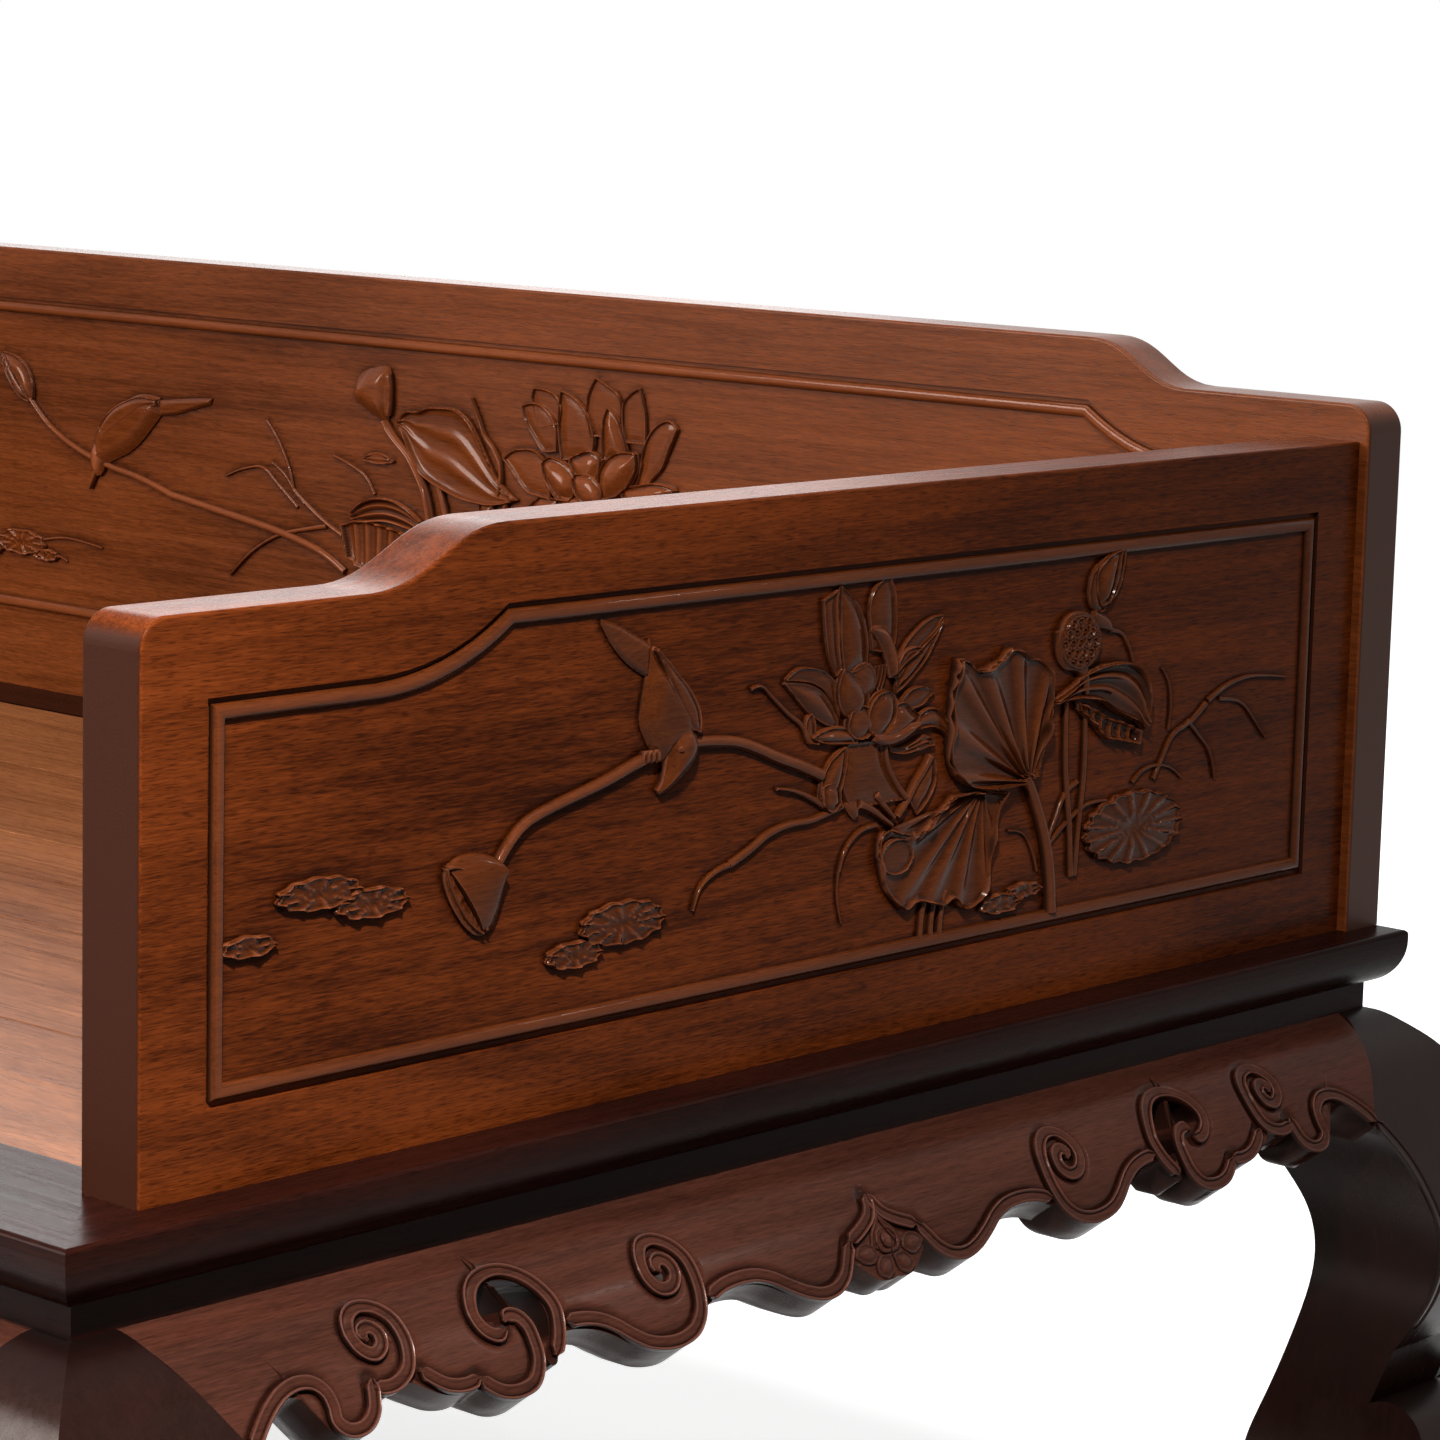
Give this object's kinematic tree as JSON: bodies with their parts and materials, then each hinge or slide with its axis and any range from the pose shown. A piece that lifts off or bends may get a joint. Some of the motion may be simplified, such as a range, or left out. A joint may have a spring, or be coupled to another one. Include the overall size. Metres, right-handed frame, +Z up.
{
  "type": "luohan daybed",
  "caption": "Hardwood luohan daybed: mitred board seat on a waist, bulging scalloped aprons and scroll-footed cabriole legs, with stepped panels at the back and both ends.",
  "frame": {"origin": "on the floor, under the middle of the bed", "axes": "+X along the length of the bed, +Y from the open front to the back panel, +Z up"},
  "size_m": [2.216, 1.22, 0.789],
  "materials": {
    "panel_wood": "semi-gloss, warm brown with dark streaks",
    "seat_wood": "semi-gloss, golden brown",
    "frame_wood": "semi-gloss, dark red-brown",
    "joint_wood": "bare, unpolished"
  },
  "bodies": {
    "root": {"front_rail": "frame_wood", "rear_rail": "frame_wood", "left_end_rail": "frame_wood", "right_end_rail": "frame_wood", "seat_board_1": "seat_wood", "seat_board_2": "seat_wood", "seat_board_3": "seat_wood", "seat_board_4": "seat_wood", "seat_board_5": "seat_wood", "seat_batten_1": "joint_wood", "seat_batten_2": "joint_wood", "seat_batten_3": "joint_wood", "seat_batten_4": "joint_wood", "seat_batten_5": "joint_wood", "waist_front": "frame_wood", "waist_rear": "frame_wood", "waist_left": "frame_wood", "waist_right": "frame_wood", "apron_front": "frame_wood", "apron_rear": "frame_wood", "apron_left": "frame_wood", "apron_right": "frame_wood", "leg_front_left": "frame_wood", "leg_front_right": "frame_wood", "leg_rear_left": "frame_wood", "leg_rear_right": "frame_wood", "back_panel": "panel_wood", "side_panel_left": "panel_wood", "side_panel_right": "panel_wood", "back_floor_tenons": "joint_wood", "left_floor_tenons": "joint_wood", "right_floor_tenons": "joint_wood", "left_sliding_keys": "joint_wood", "right_sliding_keys": "joint_wood"}
  },
  "joints": []
}
